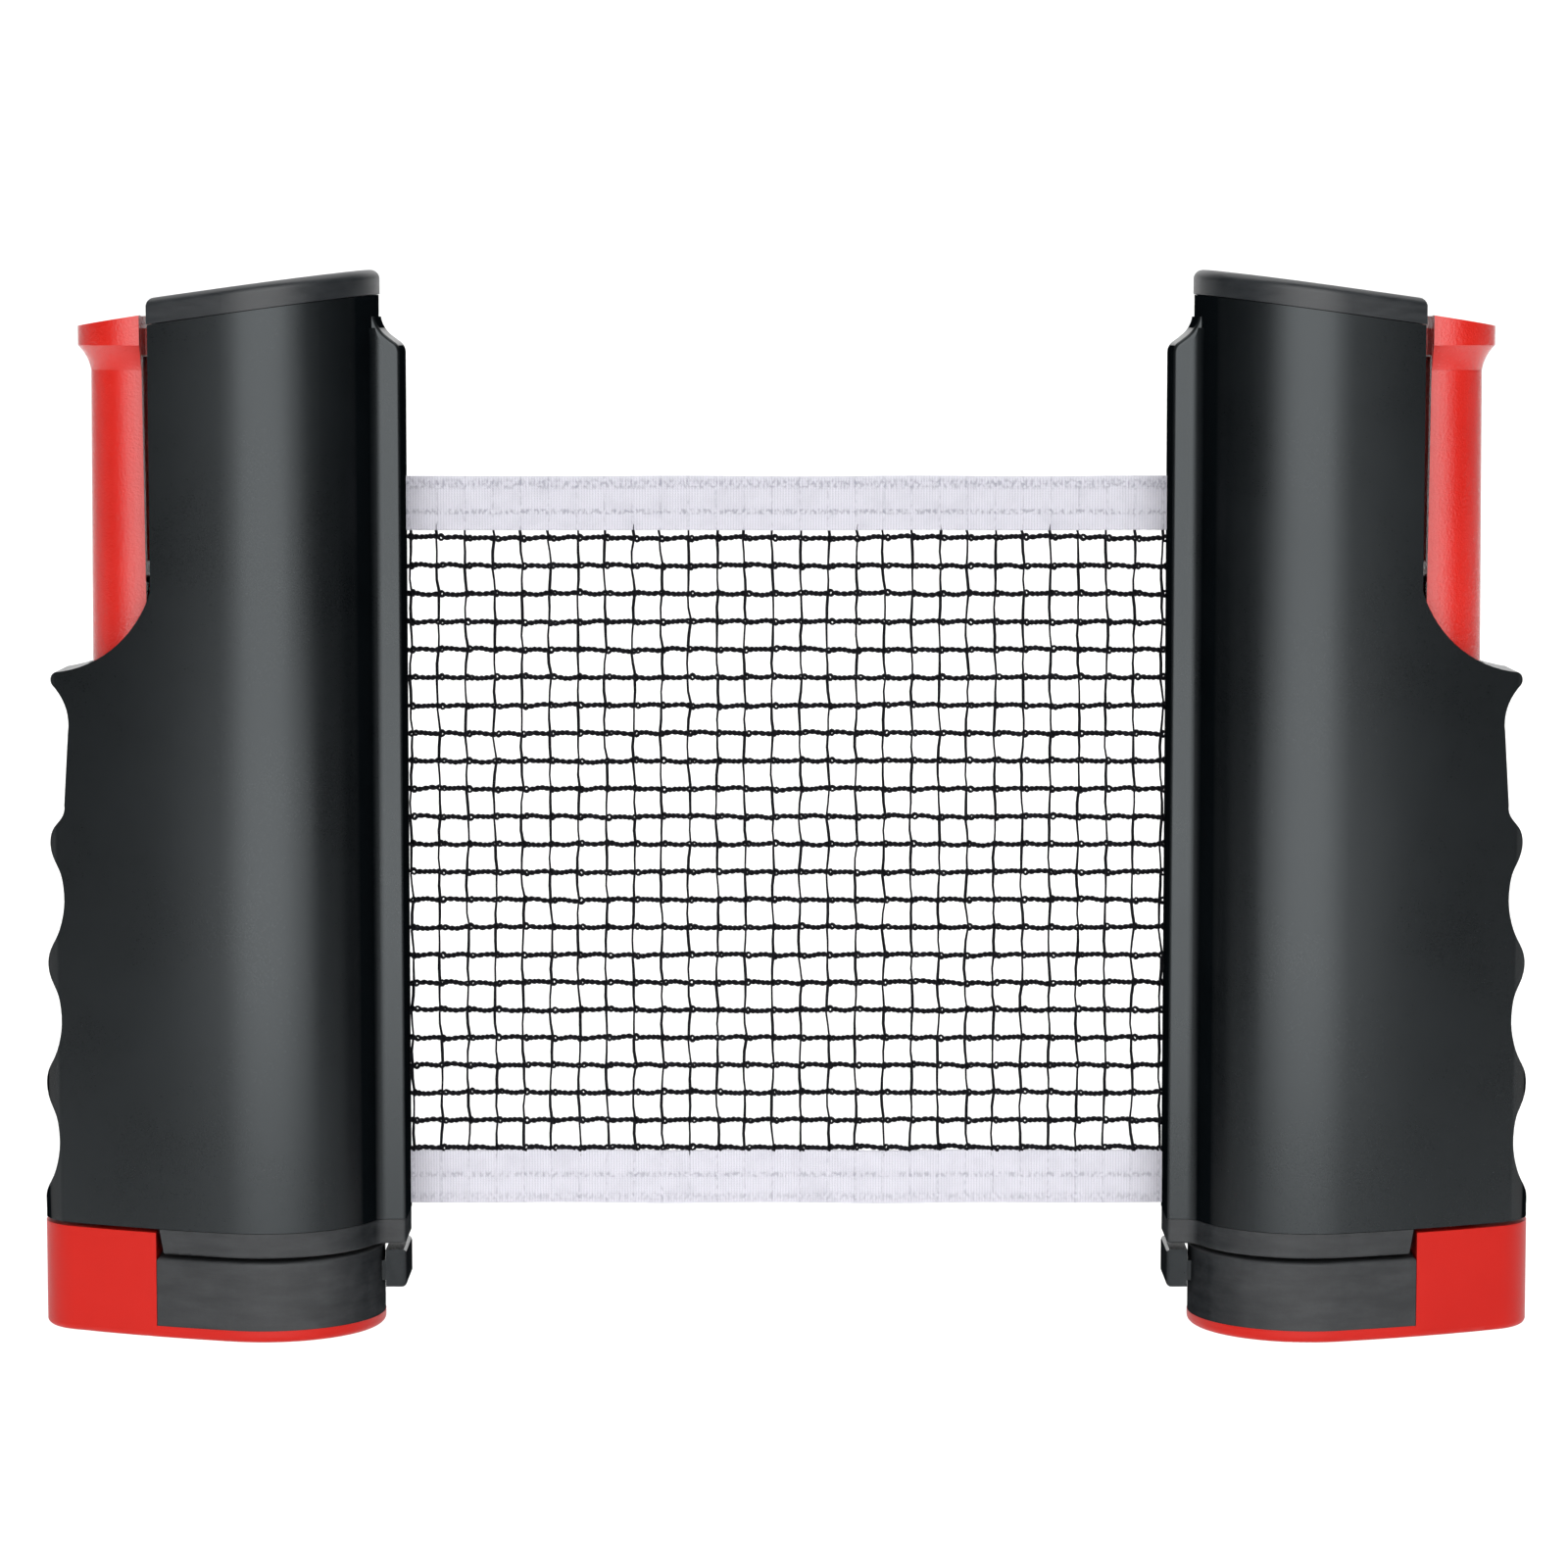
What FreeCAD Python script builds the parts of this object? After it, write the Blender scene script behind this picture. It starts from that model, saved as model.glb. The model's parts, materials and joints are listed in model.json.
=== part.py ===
"""Retractable table tennis net: two mirrored clamp posts with the net drawn between them.

Millimetres, +Z up. The origin is on the resting plane, midway between the posts.
X runs along the net and Y across it. The left post stands at -X and the right one is its mirror.
"""
import FreeCAD, Part
import math
import os
from FreeCAD import Placement, Rotation, Vector

os.makedirs("parts", exist_ok=True)

# ---- driving dimensions -------------------------------------------------------------------
TUBE_X = -103.0          # axis of the net roller and of the round end of the housing
TUBE_R = 22.6
BORE_R = 19.4
GRIP_X = -137.5          # axis of the small round end, where the fingers hold
GRIP_R = 10.7
FLANK_R = 200.0          # of the slightly bowed sides between the two round ends
CUT_X = -123.9           # flat face against which the handle slides
FLANGE_X = -75.7         # end face of the flange that the net leaves through
FLANGE_Y = (-6.2, 9.3)
NET_Y = 7.0              # plane of the net
SLOT_GAP = 0.8           # from the net plane to either side of its slot

PLATE_T = 2.4            # sole of the lower jaw, which rests on the ground
PAD_TOP = 16.0           # gripping face of the lower jaw
TABLE_Z = 16.8           # underside of the upper jaw, where a table top would be
BODY_Z = 21.8            # bottom edge of the housing
WALL_TOP = 21.0          # top of the lower jaw's outer wall
NET_TOP = TABLE_Z + 152.5
NET_BOTTOM = 22.6
TAPE_H = 10.9
SLOPE = 0.1345           # fall of the cap towards the grip
CAP_Z = 202.0            # underside of the cap on the tube's axis
CAP_T = 5.0

HANDLE_TOP = 200.9
JOIN_Z = 52.0            # where the handle meets the jaw's riser
TONGUE_Z = 66.0
SHELF_Z = (69.0, 72.0)
BRIDGE_Z = 149.8         # underside of the web that the clamp spring lifts
SPRING_X = -130.0

CORE_R = 6.0             # roller core
ROLL_R = {"left": 18.3, "right": 8.4}    # net wound on each roller
BEARING_Z = 171.5
KEEPER_Z = (32.0, 153.0)                 # rod that holds the net's end in the core


# ---- helpers ------------------------------------------------------------------------------
def line(a, b):
    return Part.makeLine(Vector(*a), Vector(*b))


def arc(a, b, c):
    return Part.Arc(Vector(*a), Vector(*b), Vector(*c)).toShape()


def up(face, low, high):
    """A flat face in the XY plane as a solid between two heights."""
    return face.translated(Vector(0, 0, low)).extrude(Vector(0, 0, high - low))


def box(x0, x1, y0, y1, z0, z1):
    return Part.makeBox(x1 - x0, y1 - y0, z1 - z0, Vector(x0, y0, z0))


def rod(r, z0, z1, x=TUBE_X, y=0.0):
    return Part.makeCylinder(r, z1 - z0, Vector(x, y, z0))


def ring(r_out, r_in, z0, z1, x=TUBE_X, y=0.0):
    return rod(r_out, z0, z1, x, y).cut(rod(r_in, z0 - 1, z1 + 1, x, y))


def rounded(solid, radius, chosen):
    """The solid with a fillet on each edge that chosen(edge) picks."""
    edges = [e for e in solid.Edges if chosen(e)]
    return solid.makeFillet(radius, edges)


def flat_at(z):
    """Picks the edges that lie in the horizontal plane at z."""
    return lambda e: abs(e.BoundBox.ZMin - z) < 0.01 and abs(e.BoundBox.ZMax - z) < 0.01


def drop(grow=0.0, left=None):
    """Plan outline: a round end about the roller, bowed sides, a small round end at the grip, cut off at left."""
    a, b, d = FLANK_R - TUBE_R, FLANK_R - GRIP_R, TUBE_X - GRIP_X
    t = (a * a - b * b + d * d) / (2 * d)
    centre = Vector(TUBE_X - t, math.sqrt(a * a - t * t), 0)

    def meets(x, radius):
        out = Vector(x, 0, 0) - centre
        return Vector(x, 0, 0) + out.normalize() * radius

    start, end = meets(TUBE_X, TUBE_R + grow), meets(GRIP_X, GRIP_R + grow)
    middle = centre + ((start + end) / 2 - centre).normalize() * (FLANK_R + grow)
    points = [start, middle, end]
    back = [Vector(p.x, -p.y, 0) for p in points[::-1]]
    face = Part.Face(Part.Wire([
        arc(points[0], points[1], points[2]),
        arc(points[2], (GRIP_X - GRIP_R - grow, 0, 0), back[0]),
        arc(back[0], back[1], back[2]),
        arc(back[2], (TUBE_X + TUBE_R + grow, 0, 0), points[0]),
    ]))
    if left is None:
        return face
    wide = Part.makePlane(100, 100, Vector(left, -50, 0))
    return face.common(wide).Faces[0]


def half_round(left, half_width, back):
    """Outline of the sliding column: a half-round front at left, straight sides, a flat back."""
    x = left + half_width
    return Part.Wire([
        line((back, -half_width, 0), (back, half_width, 0)),
        line((back, half_width, 0), (x, half_width, 0)),
        arc((x, half_width, 0), (left, 0, 0), (x, -half_width, 0)),
        line((x, -half_width, 0), (back, -half_width, 0)),
    ])


def column(left, half_width, back, z0, z1):
    return up(Part.Face(half_round(left, half_width, back)), z0, z1)


def screw(x, y, z, length, axis=(0, 0, 1), head_r=2.4, head_t=1.3, r=1.1):
    """A pan-head screw: head below the point, shank along the axis, with a cross recess in the head."""
    head = Part.makeCylinder(head_r, head_t, Vector(0, 0, -head_t))
    head = rounded(head, 0.4, flat_at(-head_t))
    recess = box(-1.4, 1.4, -0.3, 0.3, -head_t, -head_t + 0.7)
    recess = recess.fuse(box(-0.3, 0.3, -1.4, 1.4, -head_t, -head_t + 0.7))
    shank = Part.makeCylinder(r, length)
    made = head.cut(recess).fuse(shank)
    made.Placement = Placement(Vector(x, y, z), Rotation(Vector(0, 0, 1), Vector(*axis)))
    return made


def tilted(z, thickness):
    """A slab whose underside follows the cap's slope, at height z over the tube's axis."""
    x0, x1 = TUBE_X - 60, TUBE_X + 60
    z0, z1 = z - 60 * SLOPE, z + 60 * SLOPE
    side = Part.makePolygon([
        Vector(x0, -60, z0), Vector(x1, -60, z1), Vector(x1, -60, z1 + thickness),
        Vector(x0, -60, z0 + thickness), Vector(x0, -60, z0),
    ])
    return Part.Face(side).extrude(Vector(0, 120, 0))


# ---- housing ------------------------------------------------------------------------------
def flange_plan(grow=0.0):
    """Plan of the net's exit flange: rounded corners, and hollow fillets where it leaves the tube."""
    blend, corner, end = 3.0 - grow, 0.9, FLANGE_X + grow
    radius = TUBE_R + grow
    reach = radius + blend
    sides = []
    for y, side in ((FLANGE_Y[0] - grow, -1), (FLANGE_Y[1] + grow, 1)):
        cy = y + side * blend
        centre = Vector(TUBE_X + math.sqrt(reach ** 2 - cy ** 2), cy, 0)
        on_tube = Vector(TUBE_X, 0, 0) + (centre - Vector(TUBE_X, 0, 0)) * (radius / reach)
        on_side = Vector(centre.x, y, 0)
        middle = centre + ((on_tube + on_side) / 2 - centre).normalize() * blend
        turn = Vector(end - corner * (1 - math.sqrt(0.5)), y - side * corner * (1 - math.sqrt(0.5)), 0)
        sides.append((on_tube, middle, on_side, Vector(end - corner, y, 0), turn, Vector(end, y - side * corner, 0)))
    front, rear = sides
    return Part.Face(Part.Wire([
        arc(*front[:3]), line(front[2], front[3]), arc(*front[3:]),
        line(front[5], rear[5]),
        arc(*rear[:2:-1]), line(rear[3], rear[2]), arc(*rear[2::-1]),
        line(rear[0], front[0]),
    ]))


def shoulder(drop_by=0.0):
    """Side outline of the flange: its end face, a rounded corner, and a hollow curve up to the tube."""
    z = -drop_by
    return Part.Wire([
        line((-86.0, 0, BODY_Z), (FLANGE_X, 0, BODY_Z)),
        line((FLANGE_X, 0, BODY_Z), (FLANGE_X, 0, 193.8 + z)),
        arc((FLANGE_X, 0, 193.8 + z), (-76.1, 0, 195.1 + z), (-77.0, 0, 196.0 + z)),
        line((-77.0, 0, 196.0 + z), (-78.2, 0, 196.9 + z)),
        arc((-78.2, 0, 196.9 + z), (-79.8, 0, 198.6 + z), (-80.6, 0, 200.8 + z)),
        line((-80.6, 0, 200.8 + z), (-86.0, 0, 200.8 + z)),
        line((-86.0, 0, 200.8 + z), (-86.0, 0, BODY_Z)),
    ])


def flange():
    """The net's exit flange, its edges rounded up and over the shoulder."""
    low, high = FLANGE_Y
    plate = Part.Face(shoulder()).translated(Vector(0, low, 0)).extrude(Vector(0, high - low, 0))

    def side_edge(e):
        b = e.BoundBox
        return b.YLength < 0.01 and b.ZLength > 0.5 and b.XMin > -85.9
    plate = rounded(plate, 0.9, side_edge)
    under = Part.Face(shoulder(2.2)).translated(Vector(0, -30, 0)).extrude(Vector(0, 60, 0))
    return plate.fuse(up(flange_plan(), BODY_Z, 202.0).common(under))


def grip_profile():
    """Side outline of the grip: finger crests and hollows, a flared lip, and the sweep up to the handle's face."""
    crests = [(-145.5, 97.3), (-146.4, 73.1), (-147.2, 48.8)]
    outline = [(-142.3, 104.9), (-143.3, 101.9), (-144.7, 100.2)]
    for x, z in crests:
        outline += [(x, z), (x + 0.75, z - 3.1), (x + 2.1, z - 5.7), (x + 2.75, z - 8.4), (x + 2.9, z - 12.1)]
        outline += [(x + 2.2, z - 16.0), (x + 1.2, z - 18.6), (x - 0.2, z - 21.2)]
    outline += [(-147.85, 24.2)]
    fingers = Part.BSplineCurve()
    fingers.interpolate([Vector(x, 0, z) for x, z in outline])
    return Part.Wire([
        line((CUT_X, 0, BODY_Z), (-147.85, 0, BODY_Z)),
        line((-147.85, 0, BODY_Z), (-147.85, 0, 24.2)),
        fingers.toShape().reversed(),
        line((-142.3, 0, 104.9), (-141.3, 0, 119.5)),
        arc((-141.3, 0, 119.5), (-142.1, 0, 125.2), (-144.4, 0, 128.4)),
        arc((-144.4, 0, 128.4), (-144.9, 0, 130.0), (-143.7, 0, 131.2)),
        arc((-143.7, 0, 131.2), (-131.2, 0, 136.6), (CUT_X, 0, 147.5)),
        line((CUT_X, 0, 147.5), (CUT_X, 0, BODY_Z)),
    ])


def housing():
    side = Part.Face(grip_profile())
    grip = side.translated(Vector(0, -30, 0)).extrude(Vector(0, 60, 0))
    grip = grip.common(up(drop(), 0, 160))
    body = up(drop(left=CUT_X), BODY_Z, CAP_Z + 12).cut(tilted(CAP_Z, 40))
    body = body.fuse(grip).fuse(flange())

    bore = rod(BORE_R, 0, BEARING_Z).fuse(rod(BORE_R + 0.4, BEARING_Z, 230))
    slot = box(TUBE_X, FLANGE_X + 1, NET_Y - SLOT_GAP, NET_Y + SLOT_GAP, 0, NET_TOP + 0.9)
    relief = rod(BORE_R + 0.9, 0, NET_TOP + 0.9).common(box(-91.0, -80.0, NET_Y - SLOT_GAP, 14.0, 0, 180))
    channel = column(-138.4, 10.35, CUT_X - 0.4, 0, 160)
    body = body.cut(bore).cut(slot).cut(relief).cut(channel)

    shelf = column(-135.0, 7.0, CUT_X + 0.4, *SHELF_Z)
    body = body.fuse(shelf.cut(rod(2.02, 60, 80, SPRING_X)))
    for x, y in foot_screw_places():
        body = body.cut(rod(0.9, 0, BODY_Z + 7.2, x, y))
    return body.removeSplitter()


def foot_screw_places():
    return [(-118.6, -14.2), (-118.6, 14.2), (-79.8, -1.4)]


def top_cap():
    rim = up(drop(0.2, CUT_X - 0.2), CAP_Z - 12, CAP_Z + 20).common(tilted(CAP_Z + 0.15, CAP_T))

    def top_edge(e):
        at = e.CenterOfMass
        plane = CAP_Z + 0.15 + CAP_T + (at.x - TUBE_X) * SLOPE
        return abs(at.z - plane) < 0.3 and e.BoundBox.ZMin > plane - 6
    cap = rounded(rim, 1.8, top_edge)
    skirt = ring(BORE_R + 0.25, BORE_R - 1.2, CAP_Z - 6.5, CAP_Z + 6).cut(tilted(CAP_Z + 0.3, 20))
    return cap.fuse(skirt).removeSplitter()


# ---- fixed jaw ----------------------------------------------------------------------------
def jaw_outline(grow, left):
    """Footprint of the fixed jaw: the housing's own outline with its flange."""
    flat = up(drop(grow, left), 0, 1).fuse(up(flange_plan(grow), 0, 1)).removeSplitter()
    bottom = [f for f in flat.Faces if abs(f.CenterOfMass.z) < 1e-6]
    return bottom[0]


def foot_plate():
    plate = up(drop(-1.8, -121.6), TABLE_Z + 2.4, BODY_Z)
    tab = box(TUBE_X, FLANGE_X - 1.6, -4.4, 4.6, TABLE_Z + 2.4, BODY_Z)
    plate = plate.fuse(tab).removeSplitter()
    pin = rod(3.0, BODY_Z - 1, BODY_Z + 8.2)
    plate = plate.fuse(pin)
    for x, y in foot_screw_places():
        plate = plate.cut(rod(1.1, 0, 40, x, y)).cut(rod(2.05, 0, TABLE_Z + 3.8, x, y))
    return plate


def foot_screws():
    made = [screw(x, y, TABLE_Z + 3.8, 8.0, head_r=1.9, r=0.9) for x, y in foot_screw_places()]
    return Part.makeCompound(made)


def upper_jaw_pad():
    outer = up(jaw_outline(-0.12, CUT_X + 0.3), TABLE_Z, BODY_Z - 0.12)
    lean = Part.Face(Part.makePolygon([
        Vector(-130, -30, TABLE_Z), Vector(CUT_X + 1.2, -30, TABLE_Z), Vector(CUT_X + 0.3, -30, BODY_Z),
        Vector(-130, -30, BODY_Z), Vector(-130, -30, TABLE_Z),
    ])).extrude(Vector(0, 60, 0))
    outer = rounded(outer.cut(lean), 0.5, flat_at(TABLE_Z))
    pocket = up(drop(-1.7, -121.7), TABLE_Z + 2.35, BODY_Z + 1)
    tab = box(TUBE_X, FLANGE_X - 1.5, -4.5, 4.7, TABLE_Z + 2.35, BODY_Z + 1)
    return outer.cut(pocket).cut(tab)


# ---- sliding handle and lower jaw ---------------------------------------------------------
def handle():
    low, high = half_round(-138.0, 10.0, CUT_X - 0.85), half_round(-137.0, 9.5, CUT_X - 2.2)
    low.translate(Vector(0, 0, JOIN_Z))
    high.translate(Vector(0, 0, HANDLE_TOP))
    post = Part.makeLoft([low, high], True, True)

    rim = Part.Face(Part.Wire([
        line((9.0, 0, 190.4), (9.7, 0, 190.4)),
        arc((9.7, 0, 190.4), (10.5, 0, 192.9), (12.2, 0, 195.2)),
        line((12.2, 0, 195.2), (12.2, 0, 203.0)),
        line((12.2, 0, 203.0), (9.0, 0, 203.0)),
        line((9.0, 0, 203.0), (9.0, 0, 190.4)),
    ]))
    rim_x = -127.4
    collar = rim.revolve(Vector(0, 0, 0), Vector(0, 0, 1), 360).translated(Vector(rim_x, 0, 0))
    collar = collar.common(box(-150, rim_x, -20, 20, 180, 210))
    rim.rotate(Vector(0, 0, 0), Vector(0, 0, 1), 90)
    flank = rim.extrude(Vector(CUT_X - 2.2 - rim_x, 0, 0)).translated(Vector(rim_x, 0, 0))
    post = post.fuse(collar).fuse(flank).fuse(flank.mirror(Vector(0, 0, 0), Vector(0, 1, 0)))

    crown = Part.Face(Part.makePolygon([
        Vector(-145, -30, 198.1), Vector(-120, -30, 202.0), Vector(-120, -30, 215),
        Vector(-145, -30, 215), Vector(-145, -30, 198.1),
    ])).extrude(Vector(0, 60, 0))
    post = post.cut(crown)

    lower = column(-135.6, 7.6, CUT_X, JOIN_Z - 1, BRIDGE_Z)
    upper = column(-134.6, 7.0, CUT_X, BRIDGE_Z + 3.0, 193.0)
    guide = box(-127.0, CUT_X - 0.4, -2.5, 2.5, 193.2, 198.5)
    post = post.cut(lower).cut(upper).fuse(guide)
    for z in jaw_screw_heights():
        post = post.cut(Part.makeCylinder(1.1, 4.0, Vector(-133.2, 0, z), Vector(-1, 0, 0)))
    return post.removeSplitter()


def jaw_screw_heights():
    return [56.0, 61.5]


def lower_jaw():
    sole = rounded(up(drop(), 0, PLATE_T), 1.2, flat_at(0))
    wall = up(drop().cut(Part.makePlane(100, 100, Vector(CUT_X - 0.4, -50, 0))), 0, WALL_TOP)
    wall = rounded(wall, 1.2, flat_at(0))
    riser = column(-138.0, 10.0, CUT_X - 0.85, WALL_TOP - 1, JOIN_Z)
    tongue = column(-135.5, 7.5, -126.4, JOIN_Z - 1, TONGUE_Z)
    jaw = wall.fuse(riser).fuse(tongue)
    jaw = jaw.cut(column(-135.6, 7.6, -126.2, 6.0, 26.0))
    jaw = jaw.cut(column(-135.6, 7.6, CUT_X + 1, 26.0, JOIN_Z - 1))
    jaw = jaw.cut(column(-133.3, 5.3, CUT_X + 1, JOIN_Z - 2, TONGUE_Z + 1))
    for z in jaw_screw_heights():
        jaw = jaw.cut(Part.makeCylinder(1.1, 6.0, Vector(-132.0, 0, z), Vector(-1, 0, 0)))
        jaw = jaw.cut(Part.makeCylinder(2.05, 1.6, Vector(-131.7, 0, z), Vector(-1, 0, 0)))
    jaw = jaw.fuse(sole)
    for x in pad_screw_places():
        jaw = jaw.cut(rod(2.6, -1, 1.7, x)).cut(rod(1.3, -1, PLATE_T + 1, x))
    return jaw.removeSplitter()


def jaw_screws():
    made = [screw(-133.3, 0, z, 3.8, axis=(-1, 0, 0), head_r=2.0, head_t=1.1) for z in jaw_screw_heights()]
    return Part.makeCompound(made)


def pad_screw_places():
    return [-113.0, -91.0]


def lower_jaw_pad():
    block = up(drop(-0.1, CUT_X - 0.3), PLATE_T, PAD_TOP)
    block = rounded(block, 0.7, flat_at(PAD_TOP))
    block = block.cut(box(-91.0, -70.0, -4.1, 7.1, 8.9, 13.1))
    for x in pad_screw_places():
        block = block.cut(rod(1.1, 0, PLATE_T + 4.7, x))
    return block


def pad_screws():
    return Part.makeCompound([screw(x, 0, 1.7, 5.2) for x in pad_screw_places()])


def jaw_nose():
    y0, y1 = FLANGE_Y
    block = box(-79.9, FLANGE_X, y0, y1, 8.1, 15.6)
    side = box(-90, FLANGE_X, y0 - 1, y1 + 1, 0, 20).cut(rod(TUBE_R + 0.25, 0, 20))
    block = block.common(side)

    def end_edge(e):
        return abs(e.CenterOfMass.x - FLANGE_X) < 0.01
    block = rounded(block, 1.0, end_edge)
    stem = box(-90.8, -78.0, -4.0, 7.0, 9.0, 13.0)
    return block.fuse(stem).removeSplitter()


# ---- clamp spring -------------------------------------------------------------------------
def clamp_spring():
    """Compression spring on its rod, from the shelf to the washer under the handle's web."""
    r, wire = 3.3, 0.5
    z0, z1 = SHELF_Z[1] + wire + 0.05, BRIDGE_Z - 1.2 - wire - 0.05
    turns = 17
    helix = Part.makeHelix((z1 - z0) / turns, z1 - z0, r)
    start = Part.Wire(Part.makeCircle(wire, Vector(r, 0, 0), Vector(0, 1, 0)))
    coil = Part.Wire(helix.Edges).makePipeShell([start], True, True)
    return coil.translated(Vector(SPRING_X, 0, z0))


def spring_rod():
    stem = rod(2.0, SHELF_Z[0] - 0.5, 102.0, SPRING_X)
    head = rod(3.1, SHELF_Z[0] - 2.0, SHELF_Z[0], SPRING_X)
    return rounded(stem.fuse(head).removeSplitter(), 0.6, flat_at(102.0))


def spring_washer():
    return ring(5.2, 2.3, BRIDGE_Z - 1.2, BRIDGE_Z, SPRING_X)


# ---- net roller ---------------------------------------------------------------------------
def roller_core():
    core = ring(CORE_R, CORE_R - 1.1, BODY_Z + 0.6, NET_TOP + 0.6)
    return core.cut(rod(0.95, *KEEPER_Z, TUBE_X + 5.1))


def net_keeper():
    return rod(0.9, *KEEPER_Z, TUBE_X + 5.1)


def roller_bushing():
    return ring(CORE_R - 1.1, 3.05, BODY_Z + 0.6, BODY_Z + 8.2)


def roller_spindle():
    plug = rod(CORE_R - 1.1, 155.0, NET_TOP + 0.6)
    shaft = rod(2.5, 160.0, 189.6)
    key = box(TUBE_X - 0.3, TUBE_X + 0.3, -3, 3, 176.0, 187.2)
    return plug.fuse(shaft).cut(key)


def net_roll(side):
    """Net wound on the core: the long store on the left roller, a few turns on the right one."""
    return ring(ROLL_R[side], CORE_R, NET_BOTTOM, NET_TOP)


def bearing_plate():
    """Disc that carries the top of the roller, with a cup for the return spring."""
    disc = rod(BORE_R + 0.3, BEARING_Z, BEARING_Z + 3.0)
    cup = ring(18.4, 16.4, BEARING_Z + 3.0, BEARING_Z + 16.0)
    plate = disc.fuse(cup).cut(rod(4.0, BEARING_Z - 1, BEARING_Z + 20))
    for x, y in cover_screw_places():
        plate = plate.cut(rod(0.5, BEARING_Z + 10, BEARING_Z + 17, x, y))
    return plate.removeSplitter()


def cover_screw_places():
    places = []
    for turn in (90, 210, 330):
        angle = math.radians(turn)
        places.append((TUBE_X + 17.4 * math.cos(angle), 17.4 * math.sin(angle)))
    return places


def spindle_bushing():
    return ring(4.0, 2.55, BEARING_Z, BEARING_Z + 4.0)


def power_spring():
    """Flat spiral spring that winds the net in: strip of even thickness laid in half circles."""
    t, pitch, r, half_turns = 0.4, 1.15, 3.1, 22
    outside, inside, centre, side = [], [], 0.0, 1
    for k in range(half_turns):
        radius = r + k * pitch / 2
        for store, reach in ((outside, radius + t / 2), (inside, radius - t / 2)):
            start, end = centre - side * reach, centre + side * reach
            store.append(arc((start, 0, 0), (centre, side * reach, 0), (end, 0, 0)))
        side = -side
        centre = centre + side * pitch / 2
    first = line(tuple(outside[0].Vertexes[0].Point), tuple(inside[0].Vertexes[0].Point))
    last = line(tuple(outside[-1].Vertexes[-1].Point), tuple(inside[-1].Vertexes[-1].Point))
    outline = Part.Wire(Part.__sortEdges__([*outside, *inside, first, last]))
    strip = up(Part.Face(outline), BEARING_Z + 5.0, BEARING_Z + 14.0)
    return strip.translated(Vector(TUBE_X, 0, 0))


def spring_cover():
    top = BEARING_Z + 16.0
    cover = ring(18.4, 3.0, top, top + 1.6)
    for x, y in cover_screw_places():
        cover = cover.cut(rod(0.5, top - 1, top + 3, x, y))
    return cover


def cover_screws():
    top = BEARING_Z + 17.6
    made = [screw(x, y, top, 5.0, axis=(0, 0, -1), head_r=0.9, head_t=0.8, r=0.5)
            for x, y in cover_screw_places()]
    return Part.makeCompound(made)


# ---- net ----------------------------------------------------------------------------------
def lead(side, thickness):
    """Where the net meets its roll: a point just clear of it, and the way from there to the slot's mouth."""
    clear = ROLL_R[side] + 0.3 + thickness / 2
    mouth = (math.sqrt(BORE_R ** 2 - NET_Y ** 2), NET_Y)
    turn = math.atan2(mouth[1], mouth[0]) + math.acos(clear / BORE_R)
    sign = 1 if side == "left" else -1
    return [(sign * (TUBE_X + clear * math.cos(turn)), clear * math.sin(turn)),
            (sign * (TUBE_X + mouth[0]), NET_Y)]


def band(z0, z1, thickness):
    """One strip of the net, from the roll on the left to the roll on the right."""
    path = lead("left", thickness) + lead("right", thickness)[::-1]
    strip = []
    for (x0, y0), (x1, y1) in zip(path, path[1:]):
        along = Vector(x1 - x0, y1 - y0, 0)
        piece = Part.makeBox(along.Length, thickness, z1 - z0, Vector(0, -thickness / 2, z0))
        turn = math.degrees(math.atan2(along.y, along.x))
        piece.Placement = Placement(Vector(x0, y0, 0), Rotation(Vector(0, 0, 1), turn))
        strip.append(piece)
    ends = [rod(thickness / 2, z0, z1, x, y) for x, y in path[1:-1]]
    return strip[0].fuse(strip[1:] + ends).removeSplitter()


# ---- export -------------------------------------------------------------------------------
def save(name, solid):
    solid.exportStep("parts/" + name + ".step")
    kinds = [s.isValid() for s in solid.Solids]
    print(name, len(kinds), all(kinds), round(solid.Volume, 1))


POST = {
    "housing": housing, "top_cap": top_cap, "foot_plate": foot_plate, "foot_screws": foot_screws,
    "upper_jaw_pad": upper_jaw_pad, "handle": handle, "lower_jaw": lower_jaw,
    "jaw_screws": jaw_screws, "lower_jaw_pad": lower_jaw_pad, "pad_screws": pad_screws,
    "jaw_nose": jaw_nose, "clamp_spring": clamp_spring, "spring_rod": spring_rod,
    "spring_washer": spring_washer, "roller_core": roller_core, "net_keeper": net_keeper,
    "roller_bushing": roller_bushing, "roller_spindle": roller_spindle,
    "bearing_plate": bearing_plate, "spindle_bushing": spindle_bushing,
    "power_spring": power_spring, "spring_cover": spring_cover, "cover_screws": cover_screws,
}

for piece, make in POST.items():
    shape = make()
    save("left_" + piece, shape)
    save("right_" + piece, shape.mirror(Vector(0, 0, 0), Vector(1, 0, 0)))

save("left_net_roll", net_roll("left"))
save("right_net_roll", net_roll("right").mirror(Vector(0, 0, 0), Vector(1, 0, 0)))
save("net_panel", band(NET_BOTTOM + TAPE_H, NET_TOP - TAPE_H, 0.5))
save("net_top_tape", band(NET_TOP - TAPE_H, NET_TOP, 0.6))
save("net_bottom_tape", band(NET_BOTTOM, NET_BOTTOM + TAPE_H, 0.6))
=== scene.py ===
"""Looks of the retractable table tennis net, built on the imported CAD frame."""
import json
import math
import random

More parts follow.
